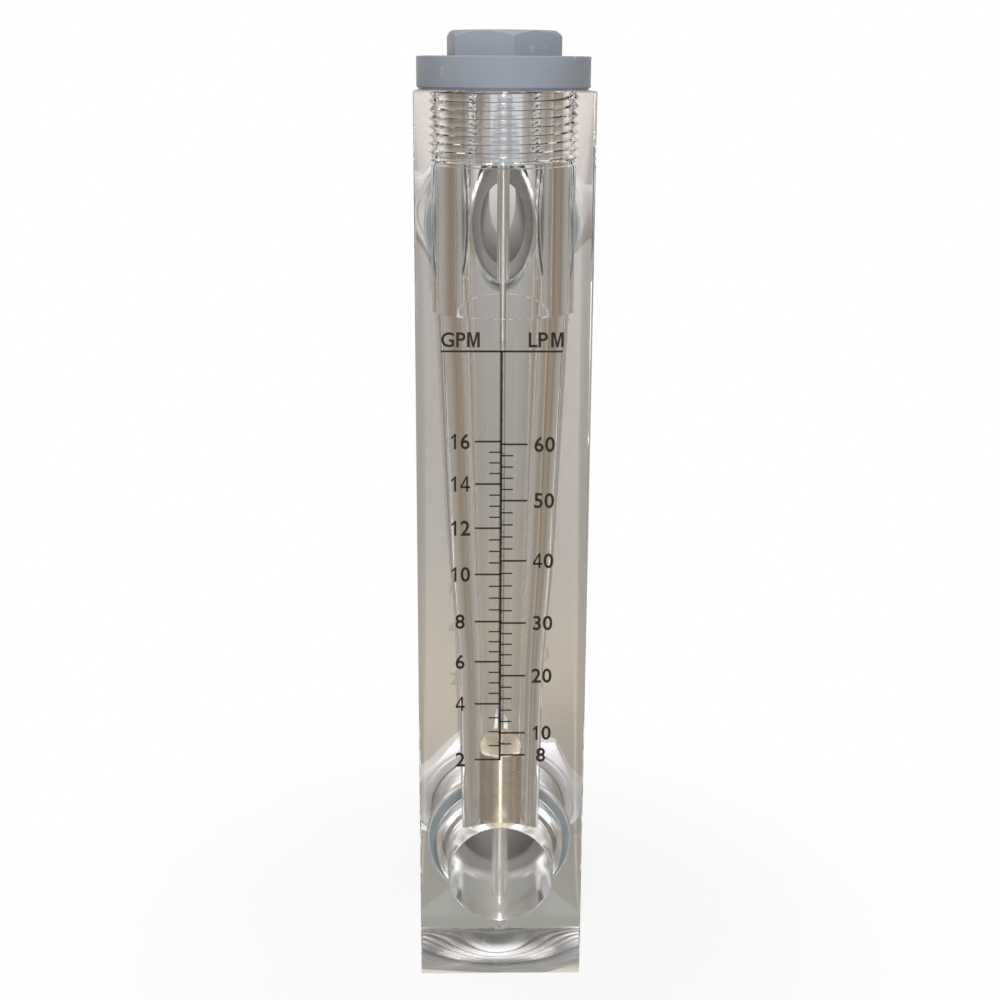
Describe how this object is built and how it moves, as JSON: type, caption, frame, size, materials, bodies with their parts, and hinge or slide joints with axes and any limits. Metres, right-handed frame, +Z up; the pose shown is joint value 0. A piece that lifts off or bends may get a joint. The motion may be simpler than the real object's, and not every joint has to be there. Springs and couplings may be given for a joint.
{
  "type": "panel mount flow meter",
  "caption": "Clear block flow meter with a tapered bore, a steel float on a guide rod, a screwed top plug and rear pipe connectors with panel nuts.",
  "frame": {"origin": "centre of the clear block's base", "axes": "+Z up the metering bore, +Y out of the back along the connectors, the scale faces -Y"},
  "size_m": [0.0468, 0.0845, 0.2505],
  "materials": {
    "acrylic": "polished clear acrylic",
    "ink": "screen printed dark ink",
    "grey_plastic": "satin turned grey plastic",
    "seal_rubber": "pale grey silicone",
    "rod_steel": "drawn stainless steel",
    "float_steel": "turned and polished stainless steel",
    "clear_sleeve": "translucent tube",
    "fitting_steel": "turned stainless steel"
  },
  "bodies": {
    "meter": {"meter_body": "acrylic", "scale_print": "ink", "inlet_connector": "fitting_steel", "outlet_connector": "fitting_steel", "inlet_seal": "seal_rubber", "outlet_seal": "seal_rubber", "lower_stop_sleeve": "clear_sleeve"},
    "float": {"float": "float_steel"},
    "plug_seal": {"plug_seal": "seal_rubber"},
    "plug": {"top_plug": "grey_plastic", "guide_rod": "rod_steel", "upper_stop_sleeve": "clear_sleeve"},
    "inlet_washer": {"inlet_panel_washer": "fitting_steel"},
    "inlet_nut": {"inlet_panel_nut": "fitting_steel"},
    "outlet_washer": {"outlet_panel_washer": "fitting_steel"},
    "outlet_nut": {"outlet_panel_nut": "fitting_steel"}
  },
  "joints": [
    {"name": "float_rise", "type": "slide", "parent": "meter", "child": "float", "axis": [0, 0, 1], "range_m": [0, 0.1261]},
    {"name": "plug_lift", "type": "slide", "parent": "meter", "child": "plug_seal", "axis": [0, 0, 1], "range_m": [0, 0.017]},
    {"name": "plug_turn", "type": "hinge", "parent": "plug_seal", "child": "plug", "pos_m": [0, 0, 0.2364], "axis": [0, 0, 1], "range_deg": [0, 3060]},
    {"name": "inlet_washer_slide", "type": "slide", "parent": "meter", "child": "inlet_washer", "axis": [0, 1, 0], "range_m": [-0.01616, 0.01154]},
    {"name": "inlet_nut_turn", "type": "hinge", "parent": "inlet_washer", "child": "inlet_nut", "pos_m": [0, 0.04175, 0.0284], "axis": [0, 1, 0], "range_deg": [-2520, 1800]},
    {"name": "outlet_washer_slide", "type": "slide", "parent": "meter", "child": "outlet_washer", "axis": [0, 1, 0], "range_m": [-0.01616, 0.01154]},
    {"name": "outlet_nut_turn", "type": "hinge", "parent": "outlet_washer", "child": "outlet_nut", "pos_m": [0, 0.04175, 0.2002], "axis": [0, 1, 0], "range_deg": [-2520, 1800]}
  ],
  "couplings": [
    {"joint": "plug_lift", "follows": "plug_turn", "m_per_rad": 0.00031831},
    {"joint": "inlet_washer_slide", "follows": "inlet_nut_turn", "m_per_rad": 0.00036749},
    {"joint": "outlet_washer_slide", "follows": "outlet_nut_turn", "m_per_rad": 0.00036749}
  ]
}
